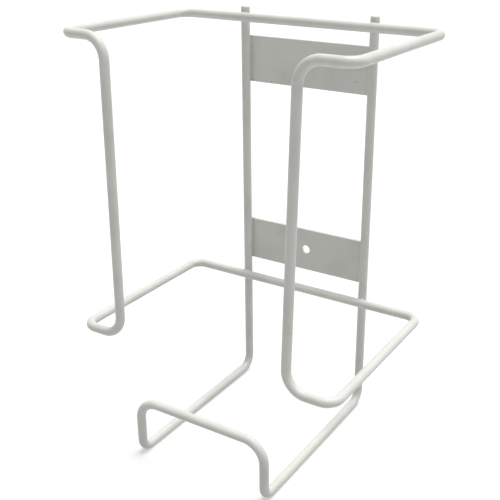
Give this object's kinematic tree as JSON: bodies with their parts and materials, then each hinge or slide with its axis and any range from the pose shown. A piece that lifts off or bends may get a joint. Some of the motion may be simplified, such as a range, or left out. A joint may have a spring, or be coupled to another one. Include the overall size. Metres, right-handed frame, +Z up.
{
  "type": "disposable glove dispenser",
  "caption": "Wall-mounted bent-wire holder that keeps an upright box of disposable gloves with its slot facing the room.",
  "frame": {"origin": "on the wall face of the mounting plates, midway between the two screw holes", "axes": "+Z up, +Y into the wall, +X to the right as seen from the room"},
  "size_m": [0.1598, 0.1123, 0.2268],
  "materials": {
    "coated_wire": "smooth semi-gloss white coating",
    "coated_plate": "smooth semi-gloss white coating"
  },
  "bodies": {
    "root": {"basket_loop": "coated_wire", "back_frame": "coated_wire", "upper_plate": "coated_plate", "lower_plate": "coated_plate"}
  },
  "joints": []
}
